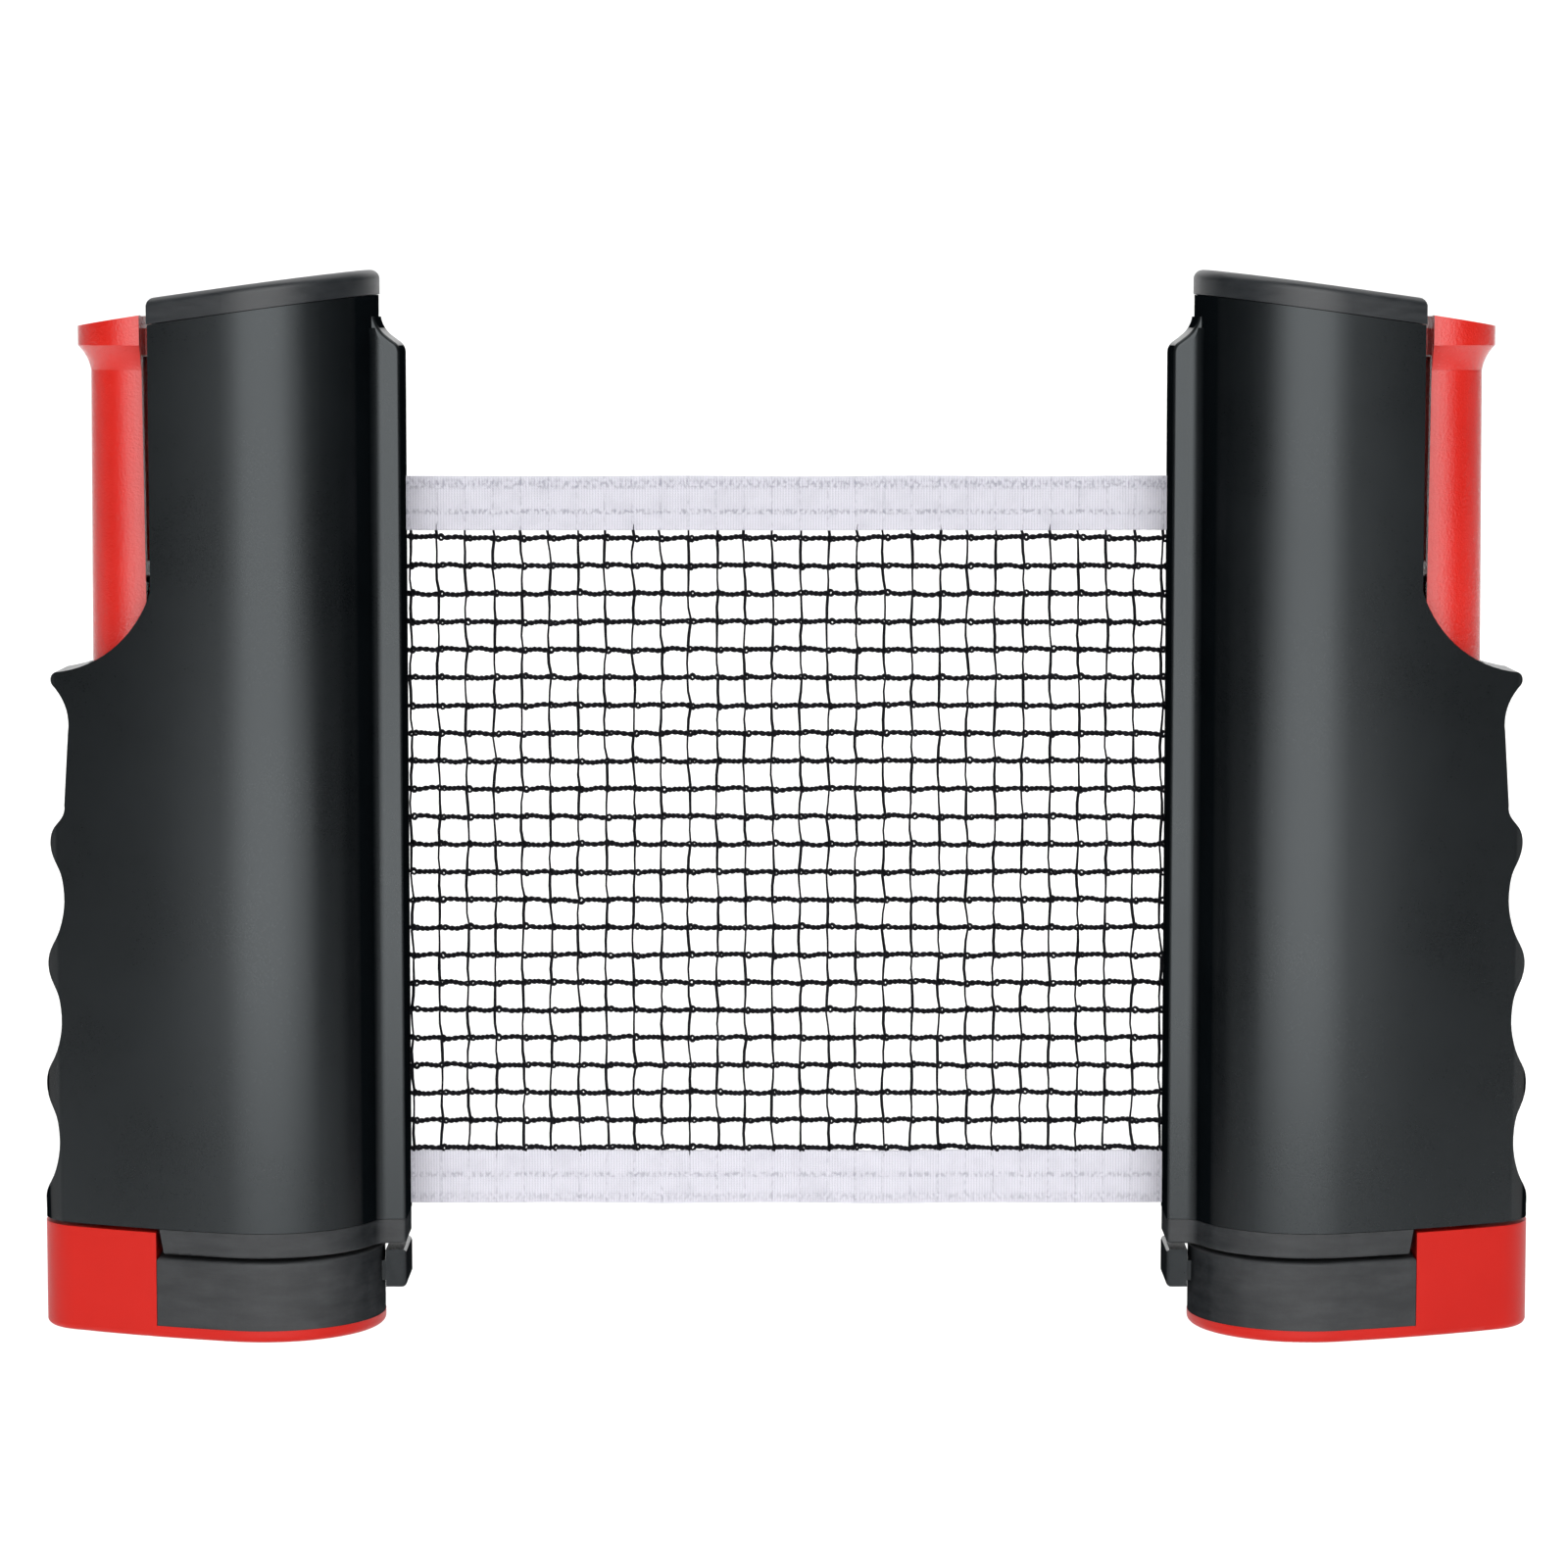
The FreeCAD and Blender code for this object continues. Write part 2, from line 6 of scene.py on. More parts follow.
import bpy
import numpy as np
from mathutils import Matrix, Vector


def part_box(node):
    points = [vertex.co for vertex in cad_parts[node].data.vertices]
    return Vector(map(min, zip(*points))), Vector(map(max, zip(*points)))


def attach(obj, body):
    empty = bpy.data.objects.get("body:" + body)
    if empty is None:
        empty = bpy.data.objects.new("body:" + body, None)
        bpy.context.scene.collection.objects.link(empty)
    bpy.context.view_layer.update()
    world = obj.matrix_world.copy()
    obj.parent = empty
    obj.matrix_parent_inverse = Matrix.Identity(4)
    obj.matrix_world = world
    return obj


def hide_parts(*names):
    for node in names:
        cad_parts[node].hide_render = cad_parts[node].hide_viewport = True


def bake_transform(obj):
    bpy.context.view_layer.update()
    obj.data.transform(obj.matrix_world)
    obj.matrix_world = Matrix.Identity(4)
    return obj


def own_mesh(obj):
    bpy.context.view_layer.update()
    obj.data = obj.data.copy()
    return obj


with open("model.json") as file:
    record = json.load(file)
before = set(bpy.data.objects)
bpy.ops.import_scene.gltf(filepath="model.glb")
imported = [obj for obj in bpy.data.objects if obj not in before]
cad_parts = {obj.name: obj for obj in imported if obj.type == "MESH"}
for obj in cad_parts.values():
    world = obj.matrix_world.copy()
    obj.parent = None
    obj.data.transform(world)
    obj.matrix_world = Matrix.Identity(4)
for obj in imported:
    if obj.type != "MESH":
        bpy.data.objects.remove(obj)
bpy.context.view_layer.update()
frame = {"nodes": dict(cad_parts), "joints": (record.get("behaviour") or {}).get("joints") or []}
MM = 0.001


# ---- node helpers -------------------------------------------------------------------------
class Nodes:
    """A material's node tree, with short calls for the nodes used here."""

    def __init__(self, name):
        self.mat = bpy.data.materials.new(name)
        self.mat.use_nodes = True
        self.tree = self.mat.node_tree
        self.shader = self.tree.nodes["Principled BSDF"]
        self.place = self.tree.nodes.new("ShaderNodeTexCoord").outputs["Object"]

    def node(self, kind, **inputs):
        made = self.tree.nodes.new("ShaderNode" + kind)
        for key, value in inputs.items():
            self.put(made.inputs[key.replace("_", " ")], value)
        return made

    def put(self, socket, value):
        if isinstance(value, bpy.types.NodeSocket):
            self.tree.links.new(value, socket)
        else:
            socket.default_value = value

    def stretched(self, scale):
        made = self.node("Mapping", Vector=self.place)
        made.inputs["Scale"].default_value = scale
        return made.outputs["Vector"]

    def noise(self, scale, detail=2.0, rough=0.5, vector=None):
        made = self.node("TexNoise", Vector=vector or self.place, Scale=scale, Detail=detail, Roughness=rough)
        return made.outputs["Fac"]

    def remap(self, value, low, high, to_low, to_high):
        made = self.tree.nodes.new("ShaderNodeMapRange")
        self.put(made.inputs["Value"], value)
        for key, number in (("From Min", low), ("From Max", high), ("To Min", to_low), ("To Max", to_high)):
            made.inputs[key].default_value = number
        return made.outputs["Result"]

    def math(self, kind, a, b=0.0):
        made = self.tree.nodes.new("ShaderNodeMath")
        made.operation = kind
        self.put(made.inputs[0], a)
        self.put(made.inputs[1], b)
        return made.outputs["Value"]

    def mix(self, factor, a, b):
        made = self.tree.nodes.new("ShaderNodeMix")
        made.data_type = "RGBA"
        self.put(made.inputs[0], factor)
        self.put(made.inputs[6], a if isinstance(a, bpy.types.NodeSocket) else (*a, 1))
        self.put(made.inputs[7], b if isinstance(b, bpy.types.NodeSocket) else (*b, 1))
        return made.outputs[2]

    def xyz(self):
        return self.node("SeparateXYZ", Vector=self.place).outputs

    def bump(self, height, distance, strength=1.0, below=None):
        made = self.node("Bump", Height=height, Distance=distance, Strength=strength)
        if below is not None:
            self.put(made.inputs["Normal"], below)
        return made.outputs["Normal"]

    def set(self, **inputs):
        for key, value in inputs.items():
            self.put(self.shader.inputs[key.replace("_", " ")], value)
        return self.mat


def painted_shade_on_ends(n, specular):
    """A specular level that falls off on the faces that look along X: painted shade, which keeps these ends dark as if
    no light reached them.
    """
    facing = n.node("SeparateXYZ", Vector=n.tree.nodes.new("ShaderNodeNewGeometry").outputs["Normal"]).outputs[0]
    return n.remap(n.math("ABSOLUTE", facing), 0.55, 0.85, specular, 0.0)


def smooth_flanks(n, tube_x, tube_r, flank_r, turn):
    """Shading normal of the housing's sides: the tube's roundness running into the bowed flank without a crease.

    tube_x and tube_r place the tube, flank_r is the flank's radius and turn the sine of the slope where they meet.
    """
    actual = n.tree.nodes.new("ShaderNodeNewGeometry").outputs["Normal"]
    x, y = n.xyz()[:2]
    away = n.math("SUBTRACT", n.math("ABSOLUTE", x), tube_x)
    flank = n.math("DIVIDE", n.math("ADD", away, turn * (flank_r - tube_r)), flank_r)
    slope = n.math("SMOOTH_MIN", n.math("DIVIDE", away, tube_r), flank)
    slope.node.inputs[2].default_value = 0.12
    slope = n.math("MINIMUM", n.math("MAXIMUM", slope, -0.999), 0.999)
    front = n.math("SQRT", n.math("SUBTRACT", 1.0, n.math("MULTIPLY", slope, slope)))
    ideal = n.node("CombineXYZ", X=n.math("MULTIPLY", slope, n.math("SIGN", x)),
                   Y=n.math("MULTIPLY", front, n.math("SIGN", y))).outputs["Vector"]
    alike = n.tree.nodes.new("ShaderNodeVectorMath")
    alike.operation = "DOT_PRODUCT"
    n.put(alike.inputs[0], actual)
    n.put(alike.inputs[1], ideal)
    blend = n.tree.nodes.new("ShaderNodeMix")
    blend.data_type = "VECTOR"
    n.put(blend.inputs[0], n.remap(alike.outputs["Value"], 0.975, 0.99, 0.0, 1.0))
    n.put(blend.inputs[4], actual)
    n.put(blend.inputs[5], ideal)
    return blend.outputs[1]


def plastic(name, dark, light, rough, grain, depth, specular=0.5, blotch=35.0, texture=0.4, black=False, flanks=None):
    """Moulded plastic: a cloudy colour, a fine spark-eroded grain and a little wear in the gloss; when black, painted
    shade on the faces that look along X.
    """
    n = Nodes(name)
    cloud = n.noise(blotch, 4.0, 0.6)
    fine = n.noise(grain, 3.0, 0.7)
    color = n.mix(n.remap(cloud, 0.35, 0.65, 0, 1), dark, light)
    gloss = n.math("ADD", n.remap(cloud, 0.3, 0.7, rough - 0.02, rough + 0.02), n.remap(fine, 0.3, 0.7, -0.03, 0.03))
    below = smooth_flanks(n, *flanks) if flanks else None
    normal = n.bump(fine, depth, texture, below=n.bump(cloud, 0.00004, 0.2, below=below))
    if black:
        n.set(Specular_Tint=(0.9, 0.97, 1.0, 1.0))
    # When black, the specular level is painted shade: it falls off on faces that look along X, so those ends stay dark.
    return n.set(Base_Color=color, Roughness=gloss, Normal=normal,
                 Specular_IOR_Level=painted_shade_on_ends(n, specular) if black else specular)


def streaked(name, dark, light, rough, scale, depth, metallic=0.0, specular=0.5):
    """A surface with drawn or brushed lines along X, Y or Z by scale, and a patchy gloss."""
    n = Nodes(name)
    lines = n.noise(1.0, 4.0, 0.65, vector=n.stretched(scale))
    cloud = n.noise(60.0, 3.0, 0.6)
    color = n.mix(n.remap(lines, 0.3, 0.7, 0, 1), dark, light)
    gloss = n.math("ADD", n.remap(lines, 0.3, 0.7, rough - 0.05, rough + 0.05), n.remap(cloud, 0.3, 0.7, -0.03, 0.03))
    return n.set(Base_Color=color, Roughness=gloss, Normal=n.bump(lines, depth, 0.5),
                 Metallic=metallic, Specular_IOR_Level=specular)


def rubber(name, dark, light):
    """Moulded rubber: dusty, with fine pits and faint flow lines."""
    n = Nodes(name)
    pits = n.noise(1600.0, 2.0, 0.6)
    flow = n.noise(1.0, 4.0, 0.6, vector=n.stretched((90.0, 90.0, 420.0)))
    dust = n.noise(140.0, 5.0, 0.7)
    color = n.mix(n.remap(n.math("MULTIPLY", dust, flow), 0.15, 0.4, 0, 1), dark, light)
    gloss = n.remap(dust, 0.3, 0.7, 0.5, 0.66)
    normal = n.bump(pits, 0.00005, 0.5, below=n.bump(flow, 0.00006, 0.35))
    # The specular level falls off on faces that look along X: painted shade on the pads' ends.
    return n.set(Base_Color=color, Roughness=gloss, Normal=normal, Specular_IOR_Level=painted_shade_on_ends(n, 0.4))


def cord_cloth(name):
    """Black twisted polyester: fine fibres, with lighter patches painted on as a few fibres catching the light."""
    n = Nodes(name)
    fibre = n.noise(5200.0, 2.0, 0.6)
    painted_glint = n.noise(420.0, 2.0, 0.5)
    color = n.mix(n.remap(fibre, 0.45, 0.75, 0, 1), (0.001, 0.001, 0.002), (0.006, 0.006, 0.01))
    # Lighter patches: a painted glint of fibres catching the light.
    color = n.mix(n.remap(painted_glint, 0.55, 0.75, 0, 0.35), color, (0.02, 0.02, 0.028))
    return n.set(Base_Color=color, Roughness=n.remap(fibre, 0.3, 0.7, 0.5, 0.8),
                 Normal=n.bump(fibre, 0.00006, 0.6), Specular_IOR_Level=0.12)


def weave(name, pitch_x, pitch_z, light, dark, rows, columns):
    """Woven white tape: ribs across it, picks along it, painted shade in the weave's hollows, pores in the bands at
    rows and the net's ghost at columns.
    """
    n = Nodes(name)
    x, _, z = n.xyz()
    wobble = n.math("MULTIPLY", n.math("SUBTRACT", n.noise(900.0, 2.0), 0.5), 2.2)
    warp = n.math("SINE", n.math("ADD", n.math("MULTIPLY", x, 2 * math.pi / pitch_x), wobble))
    weft = n.math("SINE", n.math("ADD", n.math("MULTIPLY", z, 2 * math.pi / pitch_z), wobble))
    height = n.math("ADD", n.math("MULTIPLY", warp, 0.45), n.math("MULTIPLY", n.math("MULTIPLY", warp, weft), 0.6))
    fuzz = n.noise(4200.0, 3.0, 0.7)
    height = n.math("ADD", height, n.math("MULTIPLY", fuzz, 0.5))
    # Darker where the weave's height is low: painted shade in the hollows between the threads.
    color = n.mix(n.remap(height, -0.9, 0.6, 0, 1), dark, light)
    color = n.mix(n.remap(n.noise(260.0, 3.0, 0.6), 0.45, 0.75, 0, 0.3), color, dark)
    patchy = n.noise(1.0, 2.0, 0.6, vector=n.stretched((1500.0, 1500.0, 1100.0)))
    for at, half, strength in rows:
        band = n.remap(n.math("ABSOLUTE", n.math("SUBTRACT", z, at)), half * 0.5, half, strength, 0.0)
        color = n.mix(n.math("MULTIPLY", band, n.remap(patchy, 0.45, 0.6, 0, 1)), color, (0.2, 0.2, 0.25))
    first, pitch = columns
    phase = n.math("FRACT", n.math("DIVIDE", n.math("SUBTRACT", x, first - pitch / 2), pitch))
    line = n.remap(n.math("ABSOLUTE", n.math("SUBTRACT", phase, 0.5)), 0.02, 0.06, 0.35, 0.0)
    color = n.mix(n.math("MULTIPLY", line, n.remap(patchy, 0.45, 0.6, 0, 1)), color, (0.2, 0.2, 0.25))
    return n.set(Base_Color=color, Roughness=n.remap(fuzz, 0.3, 0.7, 0.75, 0.9), Normal=n.bump(height, 0.00008, 0.6),
                 Specular_IOR_Level=0.25, Sheen_Weight=0.1)


BLACK = plastic("black_satin", (0.0018, 0.0026, 0.0032), (0.0028, 0.0038, 0.0046), 0.3, 2600.0, 0.00002, 0.52,
                black=True, flanks=(0.103, 0.0226, 0.2, 0.259))
CAP = streaked("black_cap", (0.008, 0.01, 0.012), (0.016, 0.0185, 0.021), 0.4, (160.0, 260.0, 900.0), 0.00004)
RED_GRAIN = plastic("red_grained", (0.54, 0.009, 0.003), (0.61, 0.012, 0.005), 0.24, 1900.0, 0.0002, 0.7, 20.0,
                    texture=0.6)
RED_SMOOTH = plastic("red_smooth", (0.43, 0.007, 0.003), (0.47, 0.010, 0.005), 0.42, 2200.0, 0.00004, 0.22, 18.0)
RUBBER = rubber("grey_rubber", (0.014, 0.0155, 0.017), (0.03, 0.032, 0.034))
GLOSS = plastic("black_gloss", (0.006, 0.007, 0.008), (0.01, 0.011, 0.012), 0.2, 900.0, 0.00005, 0.4, 120.0, black=True)
WHITE = plastic("natural_plastic", (0.62, 0.6, 0.55), (0.7, 0.68, 0.63), 0.42, 2400.0, 0.00003)
STEEL = streaked("zinc_steel", (0.42, 0.43, 0.44), (0.56, 0.57, 0.58), 0.32, (500.0, 500.0, 60.0), 0.00002, 1.0)
SPRING = streaked("spring_steel", (0.3, 0.31, 0.33), (0.44, 0.45, 0.47), 0.28, (700.0, 700.0, 700.0), 0.00002, 1.0)
TUBE = streaked("drawn_aluminium", (0.6, 0.61, 0.62), (0.74, 0.75, 0.76), 0.3, (900.0, 900.0, 20.0), 0.00002, 1.0)
BRASS = streaked("turned_brass", (0.6, 0.42, 0.16), (0.75, 0.56, 0.26), 0.3, (60.0, 60.0, 1500.0), 0.00002, 1.0)
CORD = cord_cloth("black_cord")
TAPE = weave("white_tape", 0.00055, 0.0005, (0.62, 0.61, 0.67), (0.38, 0.38, 0.43),
             rows=((0.1676, 0.0012, 0.55), (0.1621, 0.0007, 0.6), (0.0285, 0.0007, 0.5), (0.0241, 0.001, 0.35)),
             columns=(0.00267, 0.00556))

FINISH = {
    "housing": BLACK, "top_cap": CAP, "foot_plate": STEEL, "foot_screws": STEEL, "upper_jaw_pad": RUBBER,
    "handle": RED_GRAIN, "lower_jaw": RED_SMOOTH, "jaw_screws": STEEL, "lower_jaw_pad": RUBBER,
    "pad_screws": STEEL, "jaw_nose": GLOSS, "spring_rod": STEEL, "spring_washer": STEEL,
    "roller_core": TUBE, "net_keeper": WHITE, "roller_bushing": WHITE, "roller_spindle": WHITE,
    "bearing_plate": BLACK, "spindle_bushing": BRASS, "power_spring": SPRING, "spring_cover": STEEL,
    "cover_screws": STEEL, "clamp_spring": SPRING, "net_roll": CORD, "net_panel": CORD,
    "net_top_tape": TAPE, "net_bottom_tape": TAPE,
}
for name, obj in frame["nodes"].items():
    piece = name.removeprefix("left_").removeprefix("right_")
    obj.data.materials.clear()
    obj.data.materials.append(FINISH[piece])


# ---- mesh helpers -------------------------------------------------------------------------
def mesh_object(name, verts, faces, materials, smooth=True):
    mesh = bpy.data.meshes.new(name)
    mesh.from_pydata([tuple(v) for v in verts], [], faces)
    for m in materials:
        mesh.materials.append(m)
    mesh.polygons.foreach_set("use_smooth", [smooth] * len(mesh.polygons))
    mesh.update()
    obj = bpy.data.objects.new(name, mesh)
    bpy.context.scene.collection.objects.link(obj)
    return obj


def tube(points, radius, sides, start=0):
    """Vertices and faces of a closed tube along points; start is the number of the first vertex."""
    points = np.asarray(points, float)
    ahead = np.gradient(points, axis=0)
    ahead /= np.linalg.norm(ahead, axis=1)[:, None]
    across = np.cross(ahead, (0.0, 1.0, 0.0))
    across /= np.linalg.norm(across, axis=1)[:, None]
    other = np.cross(ahead, across)
    turn = np.arange(sides) * 2 * math.pi / sides
    radius = np.broadcast_to(radius, len(points))
    ring = across[:, None] * np.cos(turn)[None, :, None] + other[:, None] * np.sin(turn)[None, :, None]
    verts = (points[:, None] + ring * radius[:, None, None]).reshape(-1, 3)
    faces = []
    for i in range(len(points) - 1):
        a, b = start + i * sides, start + (i + 1) * sides
        for k in range(sides):
            j = (k + 1) % sides
            faces.append((a + k, a + j, b + j, b + k))
    last = start + (len(points) - 1) * sides
    faces.append(tuple(range(start + sides - 1, start - 1, -1)))
    faces.append(tuple(range(last, last + sides)))
    return verts, faces


def tubes(name, lines, sides, material):
    """One mesh of many tubes; lines is a list of (points, radius)."""
    verts, faces, count = [], [], 0
    for points, radius in lines:
        v, f = tube(points, radius, sides, count)
        verts.append(v)
        faces += f
        count += len(v)
    return mesh_object(name, np.concatenate(verts), faces, [material])


def joined(name, objects):
    bpy.ops.object.select_all(action="DESELECT")
    for obj in objects:
        obj.select_set(True)
    bpy.context.view_layer.objects.active = objects[0]
    bpy.ops.object.join()
    objects[0].name = name
    return objects[0]


def swept(name, profile, xs, shift, material):
    """A closed profile in Y and Z swept along X; shift(x, profile) gives its points at x."""
    n, verts, faces = len(profile), [], []
    for x in xs:
        ring = shift(x, profile)
        verts += [(x, y, z) for y, z in ring]
    for i in range(len(xs) - 1):
        for k in range(n):
            j = (k + 1) % n
            faces.append((i * n + k, i * n + j, (i + 1) * n + j, (i + 1) * n + k))
    faces.append(tuple(range(n)))
    faces.append(tuple(range(len(verts) - 1, len(verts) - n - 1, -1)))
    return mesh_object(name, verts, faces, [material])


# ---- the net ------------------------------------------------------------------------------
top_low, top_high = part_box("net_top_tape")
bottom_low, bottom_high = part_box("net_bottom_tape")
NET_Y = 7.0 * MM         # the net's plane, in front of the rollers' axes
HALF = 80.0 * MM         # from the middle of the net to each slot's mouth
PITCH = 5.56 * MM        # between the upright threads
ROW_PITCH = 5.586 * MM   # between the rows
ROWS = [top_low.z - 1.5 * MM - i * ROW_PITCH for i in range(23)]
joints = {joint["name"]: joint for joint in frame["joints"]}
PAYOUT = joints["net_payout"]["range_m"][1]
draw = random.Random(11)


def row_wave():
    """The slight wander of one row: a smooth random curve of x."""
    terms = [(draw.uniform(30, 400), draw.uniform(0, 6.28), draw.uniform(0.02, 0.07) * MM) for _ in range(6)]
    return lambda x: sum(a * np.sin(f * x + p) for f, p, a in terms)


COLUMNS = np.arange(-14, 14) * PITCH + 2.67 * MM
WAVES = [row_wave() for _ in ROWS]
LEAN = [[draw.uniform(-0.32, 0.32) * MM for _ in COLUMNS] for _ in ROWS]


def net_rows():
    """Each row is two strands twisted round each other, opening into a small loop at every column."""
    lines = []
    for i, z in enumerate(ROWS):
        x = np.arange(-HALF, HALF, 0.17 * MM)
        phase = draw.uniform(0, 6.28)
        beat = np.cos((x - COLUMNS[0] - 0.6 * MM) * 2 * math.pi / PITCH)
        radius = (0.25 + 0.3 * np.clip(beat, 0, 1) ** 4) * MM
        twist = x * 2 * math.pi / (2.2 * MM) + phase + 0.9 * np.sin(x * 700 + i)
        mid = z + WAVES[i](x) + 0.12 * MM * np.sin(x * 1130 + 2.1 * i)
        for side in (0, math.pi):
            zs = mid + radius * np.sin(twist + side)
            ys = NET_Y + 0.8 * radius * np.cos(twist + side)
            thick = (0.31 + 0.07 * np.sin(x * 1900 + side + i)) * MM
            lines.append((np.stack([x, ys, zs], axis=1), thick))
    return lines


def net_columns():
    """Thinner threads between the rows, each hooked round the row and leaning a little to one side."""
    lines = []
    ends = [top_low.z + 1.2 * MM, *ROWS, bottom_high.z - 1.2 * MM]
    hook = ((0.5, 0.1, 0.15), (0.2, 0.26, 0.42), (-0.2, 0.24, 0.42), (-0.5, 0.02, 0.15))
    for k, x0 in enumerate(COLUMNS):
        points = []
        for i, z in enumerate(ends):
            row = min(max(i - 1, 0), len(ROWS) - 1)
            x = x0 + LEAN[row][k]
            lift = 0.0 if i in (0, len(ends) - 1) else WAVES[row](x)
            side = 1 if (row + k) % 2 else -1
            if 0 < i < len(ends) - 1:
                points += [(x + dx * MM, NET_Y + side * dy * MM, z + lift + dz * MM) for dz, dx, dy in hook]
            else:
                points.append((x, NET_Y, z))
            if i < len(ends) - 1:
                x1 = x0 + LEAN[min(i, len(ROWS) - 1)][k]
                bow = draw.uniform(-0.16, 0.16) * MM
                points.append(((x + x1) / 2 + bow, NET_Y + draw.uniform(-0.05, 0.05) * MM, (z + ends[i + 1]) / 2))
        knots = np.arange(len(points)) / 5.0
        lines.append((points, (0.29 + 0.07 * np.sin(2.3 * knots + 1.7 * k)) * MM))
    return lines


mesh_net = joined("net_mesh", [tubes("rows", net_rows(), 6, CORD), tubes("threads", net_columns(), 5, CORD)])


def tape_profile(low, high, fold_up):
    """A strip folded over the net's edge: two leaves with the net's edge between them."""
    t, gap = 0.21 * MM, 0.16 * MM
    tall = high - low
    zs = [0.0, 0.03, 0.1, 0.22, 0.3, 0.34, 0.38, 0.5, 0.64, 0.78, 0.9]
    out = t + gap / 2
    outer = [(-out, tall * s) for s in zs]
    outer += [(-out * math.cos(a), tall - out + out * math.sin(a)) for a in (0.5, 1.1, math.pi / 2, 2.04, 2.64)]
    outer += [(out, tall * s) for s in zs[::-1]]
    inner = [(gap / 2, tall * s) for s in zs]
    inner += [(0.0, tall - t)]
    inner += [(-gap / 2, tall * s) for s in zs[::-1]]
    ring = outer + inner
    if fold_up:
        return [(NET_Y + y, low + z) for y, z in ring]
    return [(NET_Y - y, high - z) for y, z in ring]


def tape(name, low, high, fold_up, seam):
    """A woven tape with the ghost of the net's columns and of one row showing through it."""
    profile = tape_profile(low, high, fold_up)
    xs = np.arange(-HALF, HALF + 0.3 * MM, 0.62 * MM)
    waves = [(draw.uniform(20, 160), draw.uniform(0, 6.28), draw.uniform(0.01, 0.05) * MM) for _ in range(4)]
    rim = low if fold_up else high

    def shift(x, ring):
        near = (x - COLUMNS[0] + 0.2 * MM) / PITCH
        column = max(0.0, 1 - abs(near - round(near)) * PITCH / (0.5 * MM))
        sway = sum(a * math.sin(f * x + p) for f, p, a in waves)
        moved = []
        for y, z in ring:
            out = 1 if y > NET_Y else -1
            row = max(0.0, 1 - abs(z - seam) / (0.45 * MM))
            edge = 0.04 * MM * math.sin(x * 2 * math.pi / (0.9 * MM)) if abs(z - rim) < 1e-6 else 0
            moved.append((y + out * (0.06 * column - 0.07 * row) * MM, z + sway + edge))
        return moved
    return swept(name, profile, xs, shift, TAPE)


top_tape = tape("top_tape", top_low.z, top_high.z - 0.1 * MM, True, top_low.z + 3.7 * MM)
bottom_tape = tape("bottom_tape", bottom_low.z + 0.1 * MM, bottom_high.z, False, bottom_low.z + 5.7 * MM)

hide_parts("net_panel")
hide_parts("net_top_tape")
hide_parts("net_bottom_tape")
for obj, material_slot in ((mesh_net, "net_cord"), (top_tape, "tape_white"), (bottom_tape, "tape_white")):
    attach(obj, "net")
    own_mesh(obj)


# ---- net inside the posts -----------------------------------------------------------------
TAPES = [(top_low.z, top_high.z - 0.1 * MM), (bottom_low.z + 0.1 * MM, bottom_high.z)]
RESERVE = 5.3 * MM       # length of slot in which the net that is not yet drawn out is gathered
ROLL_PITCH = 0.57 * MM   # one turn of wound net on the next
ROLL_CLOTH = 0.4 * MM
LEAD_CLOTH = 0.35 * MM
SPRING_TURNS = 17


def strip(name, path, thick, low, high, material):
    """A flat strip of cloth that stands on edge along a path in X and Y."""
    path = np.asarray(path, float)
    ahead = np.gradient(path, axis=0)
    ahead /= np.linalg.norm(ahead, axis=1)[:, None]
    side = np.stack([-ahead[:, 1], ahead[:, 0]], axis=1) * thick / 2
    verts = []
    for p, s in zip(path, side):
        verts += [(*(p + s), low), (*(p + s), high), (*(p - s), high), (*(p - s), low)]
    faces = [(4 * i + k, 4 * i + (k + 1) % 4, 4 * i + 4 + (k + 1) % 4, 4 * i + 4 + k)
             for i in range(len(path) - 1) for k in range(4)]
    faces += [(3, 2, 1, 0), tuple(len(verts) - 4 + k for k in range(4))]
    return mesh_object(name, verts, faces, [material], smooth=False)


def cloth_along(name, path, thick):
    """Net with its two tapes, in three strips along one path."""
    body = strip(name + "_cloth", path, thick, bottom_high.z, top_low.z, CORD)
    tapes = [strip(name + "_tape", path, thick * 1.2, low, high, TAPE) for low, high in TAPES]
    return joined(name, [body, *tapes])


def spiral(outer, pitch):
    """Path of the wound net, from the core outwards."""
    core_low, core_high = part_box("left_roller_core")
    inner = (core_high.x - core_low.x + pitch) / 2
    turns = (outer - inner - pitch / 2) / pitch
    angle = np.linspace(0, turns * 2 * math.pi, int(turns * 44) + 1)
    r = inner + pitch * angle / (2 * math.pi)
    return np.stack([r * np.cos(angle), r * np.sin(angle)], axis=1)


def spread(shares):
    """Where, in the short store behind the slot, the net must lie to be spread evenly once it is drawn out."""
    t = 0.5 - np.sin(np.arcsin(1 - 2 * np.asarray(shares)) / 3)
    return -HALF - RESERVE * (1 - t)


def reserve():
    """The net still on the left roller, gathered in the slot and drawn out as the posts part.

    It is stretched along X as it comes out, so each thread's thickness along X is laid out in shares as well.
    """
    count = int(PAYOUT / PITCH)
    ends = spread([0.0, 1.0])
    rows = tubes("reserve_rows", [([(x, NET_Y, z) for x in ends], 0.5 * MM) for z in ROWS], 4, CORD)
    thick = 0.3 * MM
    verts, faces = [], []
    for share in np.arange(1, count) / count:
        flanks = spread([share - thick / PAYOUT, share, share + thick / PAYOUT, share])
        first = len(verts)
        verts += [(x, NET_Y + y, z) for z in (bottom_high.z - 1 * MM, top_low.z + 1 * MM)
                  for x, y in zip(flanks, (0.0, -thick, 0.0, thick))]
        faces += [tuple(first + i for i in (k, (k + 1) % 4, 4 + (k + 1) % 4, 4 + k)) for k in range(4)]
    threads = mesh_object("reserve_threads", verts, faces, [CORD], smooth=False)
    path = [(x, NET_Y) for x in spread(np.linspace(0, 1, 60))]
    tapes = [strip("reserve_tape", path, 0.58 * MM, low, high, TAPE) for low, high in TAPES]
    made = joined("net_reserve", [rows, threads, *tapes])
    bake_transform(made)


